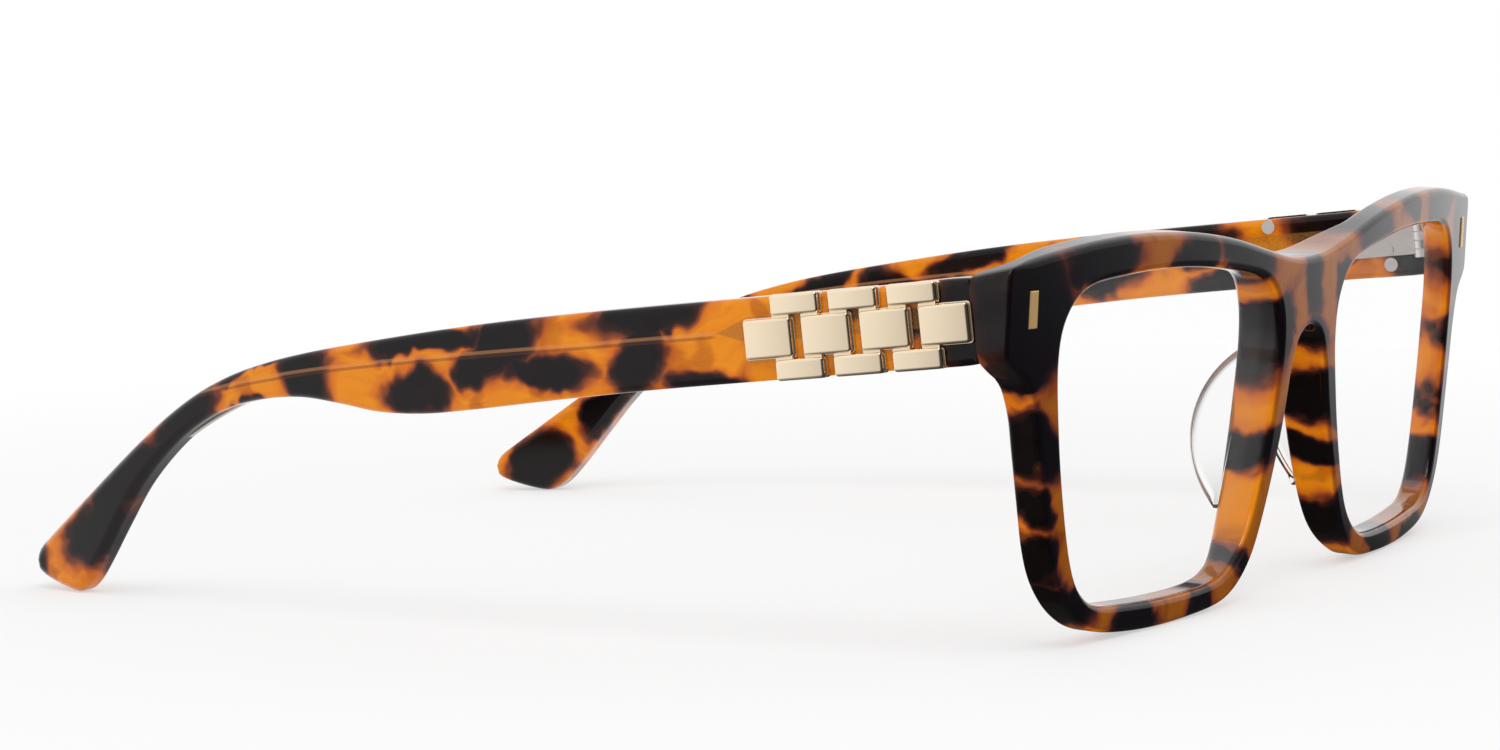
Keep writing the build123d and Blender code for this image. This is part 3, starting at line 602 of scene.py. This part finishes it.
class Network:
    """Short ways to add and join shader nodes in one tree."""

    def __init__(self, tree):
        self.tree = tree

    def add(self, kind, **settings):
        node = self.tree.nodes.new(kind)
        for name, value in settings.items():
            setattr(node, name, value)
        return node

    def join(self, source, target):
        self.tree.links.new(source, target)

    def feed(self, target, value):
        """Join a socket to the target, or set it to a number or colour."""
        if isinstance(value, bpy.types.NodeSocket):
            self.join(value, target)
        else:
            target.default_value = value

    def coordinates(self, kind):
        return self.add("ShaderNodeTexCoord").outputs[kind]

    def math(self, operation, *values):
        node = self.add("ShaderNodeMath", operation=operation)
        for target, value in zip(node.inputs, values):
            self.feed(target, value)
        return node.outputs[0]

    def vector(self, operation, *values, output=0):
        node = self.add("ShaderNodeVectorMath", operation=operation)
        for target, value in zip(node.inputs, values):
            self.feed(target, value)
        return node.outputs[output]

    def parts(self, vector):
        """The vector's x, y and z."""
        node = self.add("ShaderNodeSeparateXYZ")
        self.join(vector, node.inputs[0])
        return node.outputs

    def mapping(self, vector, kind, **settings):
        node = self.add("ShaderNodeMapping", vector_type=kind)
        self.join(vector, node.inputs["Vector"])
        for name, value in settings.items():
            node.inputs[name].default_value = value
        return node.outputs["Vector"]

    def mix(self, factor, first, second, blend="MIX"):
        node = self.add("ShaderNodeMix", data_type="RGBA", blend_type=blend)
        self.feed(node.inputs["Factor"], factor)
        self.feed(node.inputs["A"], first)
        self.feed(node.inputs["B"], second)
        return node.outputs["Result"]

    def smooth(self, value, low, high):
        """0 at low, 1 at high, and a smooth change between."""
        node = self.add("ShaderNodeMapRange", interpolation_type="SMOOTHSTEP")
        self.feed(node.inputs["Value"], value)
        node.inputs["From Min"].default_value = low
        node.inputs["From Max"].default_value = high
        return node.outputs["Result"]

    def noise(self, vector, scale, detail, roughness=0.5, output="Fac"):
        node = self.add("ShaderNodeTexNoise")
        self.join(vector, node.inputs["Vector"])
        node.inputs["Scale"].default_value = scale
        node.inputs["Detail"].default_value = detail
        node.inputs["Roughness"].default_value = roughness
        return node.outputs[output]

    def glow(self, kind, strength):
        """White light of a strength, from an Emission or a Background node."""
        node = self.add(kind)
        node.inputs["Color"].default_value = WHITE
        self.feed(node.inputs["Strength"], strength)
        return node.outputs[0]

    def blend(self, factor, first, second):
        """The first shader where the factor is 0, and the second where it is 1."""
        node = self.add("ShaderNodeMixShader")
        self.join(factor, node.inputs["Fac"])
        self.join(first, node.inputs[1])
        self.join(second, node.inputs[2])
        return node.outputs[0]


def new_material(name):
    """A material with its network and its Principled shader."""
    material = bpy.data.materials.new(name)
    material.use_nodes = True
    return material, Network(material.node_tree), material.node_tree.nodes["Principled BSDF"]


def chart(net, origin, turn):
    """Place on a piece in millimetres, from its object coordinates: x, along or in, up."""
    moved = net.vector("SUBTRACT", net.coordinates("Object"), tuple(origin * MM))
    return net.mapping(moved, "POINT", Rotation=(turn, 0, 0), Scale=(1 / MM, 1 / MM, 1 / MM))


def bent(net, point, scale, shift, detail):
    """The point, moved about by a noise."""
    noise = net.noise(point, scale, detail, output="Color")
    centred = net.vector("SUBTRACT", noise, (0.5, 0.5, 0.5))
    return net.vector("MULTIPLY_ADD", centred, (shift, shift, shift), point)


def spot_field(net, point, spots, axis, depth):
    """Distance from the nearest dense spot, which is 1 at its edge."""
    field = None
    for a, b, half_length, half_height, turn in spots:
        angle = math.radians(turn)
        if axis == "x":
            place = (a, FRONT_SPOT_MIDDLE, b)
            rotation = (0, -angle, 0)
            size = (half_length, depth, half_height)
        else:
            place = (0, a, b)
            rotation = (angle, 0, 0)
            size = (depth, half_length, half_height)
        local = net.mapping(point, "TEXTURE", Location=place, Rotation=rotation, Scale=size)
        distance = net.vector("LENGTH", local, output="Value")
        field = distance if field is None else net.math("SMOOTH_MIN", field, distance, SPOT_JOIN)
    return field


def spot_colours(net, field):
    """The acetate's colour by the distance from its spots."""
    ramp = net.add("ShaderNodeValToRGB")
    net.join(net.math("MULTIPLY", field, 0.5), ramp.inputs["Fac"])
    elements = ramp.color_ramp.elements
    while len(elements) < len(SPOT_STOPS):
        elements.new(0.5)
    for element, (place, colour) in zip(elements, SPOT_STOPS):
        element.position = place
        element.color = colour
    return ramp.outputs["Color"]


def tinted(net, colour, mask, share, tint):
    """The colour, multiplied by a tint where the mask is 1."""
    return net.mix(net.math("MULTIPLY", mask, share), colour, tint, "MULTIPLY")


def core_lines(net, point, colour):
    """The core wire and its leaf, seen faintly through a temple."""
    _, u, w = net.parts(point)
    past = net.math("MAXIMUM", net.math("SUBTRACT", u, CORE_FALL_START), 0.0)
    fall = net.math("MULTIPLY", net.math("POWER", past, 4.0), CORE_FALL)
    above = net.math("SUBTRACT", w, CORE_LEVEL)
    off = net.math("ADD", above, fall)
    run = net.math("MULTIPLY", net.smooth(u, *CORE_START), net.smooth(u, *CORE_END))
    line = net.smooth(net.math("ABSOLUTE", off), *CORE_LINE)
    below = net.math("ABSOLUTE", net.math("ADD", off, CORE_SHADE_BELOW))
    shade = net.smooth(below, *CORE_SHADE_LINE)
    for mask, share, tone in ((shade, WIRE_SHADE_SHARE, WIRE_SHADE), (line, WIRE_SHARE, WIRE_COLOUR)):
        held = net.math("MULTIPLY", mask, run)
        colour = net.mix(net.math("MULTIPLY", held, share), colour, tone)
    late = net.math("MAXIMUM", net.math("SUBTRACT", u, LEAF_TAPER_START), 0.0)
    half = net.math("SUBTRACT", LEAF_HALF_HEIGHT, net.math("MULTIPLY", late, LEAF_TAPER))
    leaf = net.smooth(net.math("SUBTRACT", net.math("ABSOLUTE", above), half), *LEAF_SOFTNESS)
    ends = net.math("MULTIPLY", net.smooth(u, *LEAF_END), net.smooth(u, *LEAF_START))
    leaf = net.math("MULTIPLY", leaf, ends)
    hatch = net.smooth(net.noise(point, HATCH_SCALE, HATCH_DETAIL), *HATCH_LEVELS)
    return net.mix(net.math("MULTIPLY", leaf, LEAF_SHARE), colour, net.mix(hatch, *LEAF_COLOURS))


def painted_face_shade(net, colour):
    """The colour with painted shade: darker and greyer on the surfaces that face forwards or up."""
    _, y, z = net.parts(net.coordinates("Normal"))
    facing = net.math("MAXIMUM", net.math("MULTIPLY", y, -1.0), z)
    return tinted(net, colour, net.smooth(facing, *FACE_SHADE_LEVELS), FACE_SHADE_SHARE, FACE_SHADE_TINT)


def acetate(name, origin, turn, spots, axis, depth, specular):
    """Polished tortoiseshell acetate: dense spots with russet rims in honey.

    The front's pattern lies along the x axis and the temples' along the y axis.
    """
    material, net, shader = new_material(name)
    point = chart(net, origin, turn)
    pattern = bent(net, bent(net, point, *BROAD_BEND), *FINE_BEND)
    field = spot_field(net, pattern, spots, axis, depth)
    cloud = net.math("SUBTRACT", net.noise(point, CLOUD_SCALE, CLOUD_DETAIL), 0.5)
    colour = spot_colours(net, net.math("ADD", field, net.math("MULTIPLY", cloud, CLOUD_SHARE)))
    veil = net.noise(bent(net, point, *VEIL_BEND), VEIL_SCALE, VEIL_DETAIL)
    colour = tinted(net, colour, net.smooth(veil, *VEIL_LEVELS), VEIL_SHARE, VEIL_COLOUR)
    stretched = net.mapping(pattern, "POINT", Scale=STREAK_STRETCH[axis])
    streaks = net.noise(stretched, STREAK_SCALE, STREAK_DETAIL, STREAK_ROUGHNESS)
    colour = tinted(net, colour, net.smooth(streaks, *STREAK_LEVELS), STREAK_SHARE, STREAK_COLOUR)
    # The front gets painted shade on its faces that look forwards or up; the temples get their core
    # wire
    colour = painted_face_shade(net, colour) if axis == "x" else core_lines(net, point, colour)
    net.join(colour, shader.inputs["Base Color"])
    shader.inputs["Roughness"].default_value = ACETATE_ROUGHNESS
    shader.inputs["IOR"].default_value = ACETATE_IOR
    shader.inputs["Specular IOR Level"].default_value = specular
    return material


def metal(name, colour, roughness, grain, metallic=1.0):
    """Polished metal with a fine grain in its colour and gloss."""
    material, net, shader = new_material(name)
    fine = net.noise(chart(net, JOINT, 0.0), GRAIN_SCALE, GRAIN_DETAIL)
    shade = tuple(part * GRAIN_SHADE for part in colour[:3]) + (1,)
    net.join(net.mix(net.math("MULTIPLY", fine, grain), colour, shade), shader.inputs["Base Color"])
    rough = net.math("ADD", net.math("MULTIPLY", fine, GRAIN_ROUGHNESS), roughness)
    net.join(rough, shader.inputs["Roughness"])
    shader.inputs["Metallic"].default_value = metallic
    return material


def clear(name, tint, alpha, roughness, transmission=0.0):
    """Clear plastic with a slight haze."""
    material, net, shader = new_material(name)
    haze = net.noise(chart(net, JOINT, 0.0), HAZE_SCALE, HAZE_DETAIL)
    rough = net.math("ADD", net.math("MULTIPLY", haze, HAZE_ROUGHNESS), roughness)
    net.join(rough, shader.inputs["Roughness"])
    shader.inputs["Base Color"].default_value = tint
    shader.inputs["Alpha"].default_value = alpha
    shader.inputs["IOR"].default_value = CLEAR_IOR
    shader.inputs["Transmission Weight"].default_value = transmission
    return material


def assign(node, material):
    """Put a material on a CAD node, through its object's slots."""
    for held in nodes[node].material_slots:
        held.link = "OBJECT"
        held.material = material


def make_camera():
    """Camera placed and turned as the photograph's was."""
    level = math.cos(CAMERA_ELEVATION)
    across, ahead = math.sin(CAMERA_AZIMUTH), math.cos(CAMERA_AZIMUTH)
    back = Vector((across * level, -ahead * level, math.sin(CAMERA_ELEVATION)))
    right = Vector((0, 0, 1)).cross(back).normalized()
    up = back.cross(right)
    right_rolled = right * math.cos(CAMERA_ROLL) + up * math.sin(CAMERA_ROLL)
    up_rolled = up * math.cos(CAMERA_ROLL) - right * math.sin(CAMERA_ROLL)
    data = bpy.data.cameras.new("photo_camera")
    data.sensor_width = SENSOR_WIDTH
    data.lens = LENS_LENGTH
    data.clip_start = CLIP_START
    camera = bpy.data.objects.new("photo_camera", data)
    turn = Matrix((right_rolled, up_rolled, back)).transposed()
    camera.matrix_world = Matrix.Translation(CAMERA_PLACE) @ turn.to_4x4()
    bpy.context.scene.collection.objects.link(camera)
    bpy.context.scene.camera = camera


def gloss_shade(net, way):
    """Brightness that polish mirrors from a direction: white, but dim towards one side."""
    toward = net.vector("DOT_PRODUCT", net.vector("NORMALIZE", way), DIM_WAY, output="Value")
    return net.math("SUBTRACT", 1.0, net.math("MULTIPLY", net.smooth(toward, *DIM_REACH), DIM_SHARE))


def make_floor():
    """Plain pale floor that looks white and keeps the shadows of the glasses."""
    mesh = bpy.data.meshes.new("floor")
    ways = ((-1, -1), (1, -1), (1, 1), (-1, 1))
    mesh.from_pydata([(x * FLOOR_HALF, y * FLOOR_HALF, 0) for x, y in ways], [], [(0, 1, 2, 3)])
    floor = bpy.data.objects.new("floor", mesh)
    bpy.context.scene.collection.objects.link(floor)
    material, net, shader = new_material("floor_white")
    shader.inputs["Base Color"].default_value = FLOOR_COLOUR
    shader.inputs["Roughness"].default_value = 1.0
    shader.inputs["Specular IOR Level"].default_value = 0.0
    place = net.coordinates("Object")
    path = net.add("ShaderNodeLightPath").outputs
    far = net.smooth(net.vector("LENGTH", place, output="Value"), *FLOOR_WHITE_RUN)
    share = net.math("ADD", FLOOR_WHITE_NEAR, net.math("MULTIPLY", far, 1 - FLOOR_WHITE_NEAR))
    seen = net.math("MULTIPLY", path["Is Camera Ray"], share)
    seen = net.math("MAXIMUM", seen, path["Is Transmission Ray"])
    plain_view = net.blend(seen, shader.outputs[0], net.glow("ShaderNodeEmission", 1.0))
    mirrored_view = net.glow("ShaderNodeEmission", gloss_shade(net, place))
    surface = net.blend(path["Is Glossy Ray"], plain_view, mirrored_view)
    net.join(surface, material.node_tree.nodes["Material Output"].inputs["Surface"])
    mesh.materials.append(material)


def make_world():
    """Pale surroundings: white to the eye, plain soft fill, and a dim side for gloss."""
    world = bpy.data.worlds.new("studio")
    bpy.context.scene.world = world
    world.use_nodes = True
    net = Network(world.node_tree)
    fill = world.node_tree.nodes["Background"]
    fill.inputs["Color"].default_value = WHITE
    fill.inputs["Strength"].default_value = FILL_STRENGTH
    mirrored_view = net.glow("ShaderNodeBackground", gloss_shade(net, net.coordinates("Generated")))
    path = net.add("ShaderNodeLightPath").outputs
    seen = net.math("MAXIMUM", path["Is Camera Ray"], path["Is Transmission Ray"])
    lit = net.blend(path["Is Glossy Ray"], fill.outputs[0], mirrored_view)
    surface = net.blend(seen, lit, net.glow("ShaderNodeBackground", 1.0))
    net.join(surface, world.node_tree.nodes["World Output"].inputs["Surface"])


def make_lamp():
    """One broad soft lamp above the glasses."""
    light = bpy.data.lights.new("key", "AREA")
    light.shape = "DISK"
    light.size = KEY_SIZE
    light.energy = KEY_POWER
    lamp = bpy.data.objects.new("key", light)
    lamp.location = KEY_PLACE
    lamp.rotation_euler = (KEY_AIM - KEY_PLACE).to_track_quat("-Z", "Y").to_euler()
    bpy.context.scene.collection.objects.link(lamp)


def make_front(finish, side_finish):
    """The front as one polished plate with its end pieces."""
    outline = spline([FRONT_TOP] + FRONT_HALF + [FRONT_ARCH] + mirrored(FRONT_HALF)[::-1])

    def front_round(x, v):
        return FRONT_ROUND - CORNER_LOSS * smooth_step(*CORNER_RUN, np.abs(x))

    def rear_round(x, v):
        at_joint = smooth_step(*JOINT_RUN, np.abs(x)) * smooth_step(*JOINT_RISE, v)
        return FRONT_ROUND * (1 - at_joint) + JOINT_ROUND * at_joint

    shell = plate(
        [outline, spline(OPENING), spline(mirrored(OPENING))],
        lambda x, v: wrap(x),
        front_rear,
        front_at,
        front_round,
        rear_round,
        FRONT_SPACING,
        columns=[side * x for side in (-1, 1) for x in STEP_COLUMNS],
    )
    piece = new_piece("front", *shell)
    dress(piece, "front", "front_frame", finish)
    piece.data.materials.append(side_finish)
    for polygon in piece.data.polygons:
        polygon.material_index = 1 if abs(polygon.normal.x) > SIDE_SLANT else 0


def make_temple(name, side, finish):
    """A temple arm, cut from sheet and bent towards the head."""

    def rounding(u, w):
        full = TEMPLE_ROUND + TIP_GAIN * smooth_step(*TIP_RUN, u)
        return JOINT_ROUND + (full - JOINT_ROUND) * smooth_step(*TEMPLE_JOINT_RUN, u)

    shell = plate(
        [spline(TEMPLE)],
        even(0.0),
        even(TEMPLE_THICKNESS),
        temple_at(side),
        rounding,
        rounding,
        TEMPLE_SPACING,
    )
    piece = new_piece(name + "_temple", *shell)
    dress(piece, name + "_temple", name + "_temple_arm", finish)


def rounded_box(length, height, corner):
    """Rectangle with rounded corners, as a loop round its middle."""
    out = []
    for a, b, start in ((1, 1, 0), (-1, 1, 90), (-1, -1, 180), (1, -1, 270)):
        for turn in LINK_CORNER_TURNS:
            angle = math.radians(start + turn)
            x = a * (length / 2 - corner) + corner * math.cos(angle)
            y = b * (height / 2 - corner) + corner * math.sin(angle)
            out.append((x, y))
    return np.array(out)


def casting_block(place, u, w, length, height, corner, rise, edge, crown=0.0):
    """One block of the ornament round u, w, which rises from the temple, less at its ends."""
    return plate(
        [divide(rounded_box(length, height, corner), LINK_STEP) + np.array([u, w])],
        lambda a, b: -(rise - crown * ((a - u) / (length / 2)) ** 2),
        even(LINK_ROOT),
        place,
        even(edge),
        even(LINK_ROOT_EDGE),
        LINK_SPACING,
        steps=LINK_EDGE_STEPS,
    )


def link_blocks(place, u, w, height, margin):
    """A pillow-shaped link on its low flange, which is higher than the link by the margin."""
    length = LINK_LENGTH + FLANGE_MARGIN
    return [
        casting_block(place, u, w, LINK_LENGTH, height, LINK_CORNER, LINK_RISE, LINK_EDGE, LINK_CROWN),
        casting_block(place, u, w, length, height + margin, LINK_CORNER, FLANGE_RISE, LOW_EDGE),
    ]


def make_ornament(name, side, finish):
    """Ten polished links in three rows, and the bars between the rows, as one casting."""
    place = temple_at(side)
    blocks = []
    for turn in range(MIDDLE_COUNT):
        blocks += link_blocks(place, LINK_FIRST + turn * LINK_PITCH, 0.0, MIDDLE_HEIGHT, SEAM)
    for turn in range(OUTER_COUNT):
        u = LINK_FIRST + (turn + 0.5) * LINK_PITCH
        for way in (1, -1):
            blocks += link_blocks(place, u, way * OUTER_ROW, OUTER_HEIGHT, 0.0)
            for shift in (-LINK_PITCH / 4, LINK_PITCH / 4):
                seam = way * (MIDDLE_HEIGHT + SEAM) / 2
                bar = (BAR_LENGTH, BAR_HEIGHT, BAR_CORNER, BAR_RISE, LOW_EDGE)
                blocks.append(casting_block(place, u + shift, seam, *bar))
    piece = new_piece(name + "_links", *joined(blocks))
    dress(piece, name + "_temple", name + "_link_ornament", finish)


def make_pad(name, side, finish):
    """Clear fin on the rear of the nasal rim, with full rounded edges."""
    half = PAD_HEIGHT / 2
    radius = (half**2 + PAD_REACH**2) / (2 * PAD_REACH)
    angle = math.asin(half / radius)
    turns = np.linspace(-angle, angle, PAD_ARC_POINTS)
    arc = [(PAD_REACH - radius + radius * math.cos(t), radius * math.sin(t)) for t in turns]
    root = [(-PAD_ROOT, b) for b in (half - PAD_ROOT_INSET, 0.0, -half + PAD_ROOT_INSET)]

    def place(a, b, depth):
        local = np.stack([a, b, depth - PAD_THICKNESS / 2], -1)
        x, v, out = np.moveaxis(local @ PAD_AXES + PAD_SEAT, -1, 0)
        return on_front(x, v, -out) * (side, 1, 1)

    def rounding(a, b):
        return PAD_ROOT_ROUND + PAD_ROUND_GAIN * smooth_step(*PAD_ROUND_RUN, a)

    loop = divide(np.array(arc + root), PAD_STEP)
    shell = plate([loop], even(0.0), even(PAD_THICKNESS), place, rounding, rounding, PAD_SPACING)
    piece = new_piece(name + "_pad", *shell)
    dress(piece, "front", name + "_nose_pad", finish)


def front_acetate(name, specular):
    """Acetate of the front, with a gloss of its own for its face or its sides."""
    return acetate(name, FRONT_FOOT, -LEAN, FRONT_SPOTS, "x", FRONT_SPOT_DEPTH, specular)


def temple_acetate(name, spots):
    """Acetate of a temple, with the spots of its side."""
    return acetate(name, JOINT, TEMPLE_DROP, spots, "y", TEMPLE_SPOT_DEPTH, TEMPLE_SPECULAR)


make_camera()
make_floor()
make_world()
make_lamp()
bpy.context.scene.view_settings.view_transform = "Standard"

face_finish = front_acetate("front_acetate", FACE_SPECULAR)
side_finish = front_acetate("front_side_acetate", SIDE_SPECULAR)
right_finish = temple_acetate("right_temple_acetate", RIGHT_TEMPLE_SPOTS)
left_finish = temple_acetate("left_temple_acetate", LEFT_TEMPLE_SPOTS)
gold = metal("pale_gold", GOLD, roughness=0.09, grain=0.06)
bar_gold = metal("bar_gold", BAR_GOLD, roughness=0.22, grain=0.1, metallic=0.5)
silver = metal("silver", SILVER, roughness=0.2, grain=0.2)
wire = metal("core_steel", STEEL, roughness=0.4, grain=0.2)
lens = clear("clear_lens", LENS_TINT, alpha=0.03, roughness=0.02)
pad = clear("clear_pad", PAD_TINT, alpha=1.0, roughness=0.0, transmission=1.0)

make_front(face_finish, side_finish)
for name, side, finish in (("left", 1, left_finish), ("right", -1, right_finish)):
    make_temple(name, side, finish)
    make_ornament(name, side, gold)
    make_pad(name, side, pad)
    assign(name + "_lens", lens)
    assign(name + "_core_wire", wire)
    assign(name + "_rivet_bar", bar_gold)
    for part in ("front_hinge", "hinge_screw", "temple_hinge", "hinge_leaf_screws", "ornament_screws"):
        assign(name + "_" + part, silver)
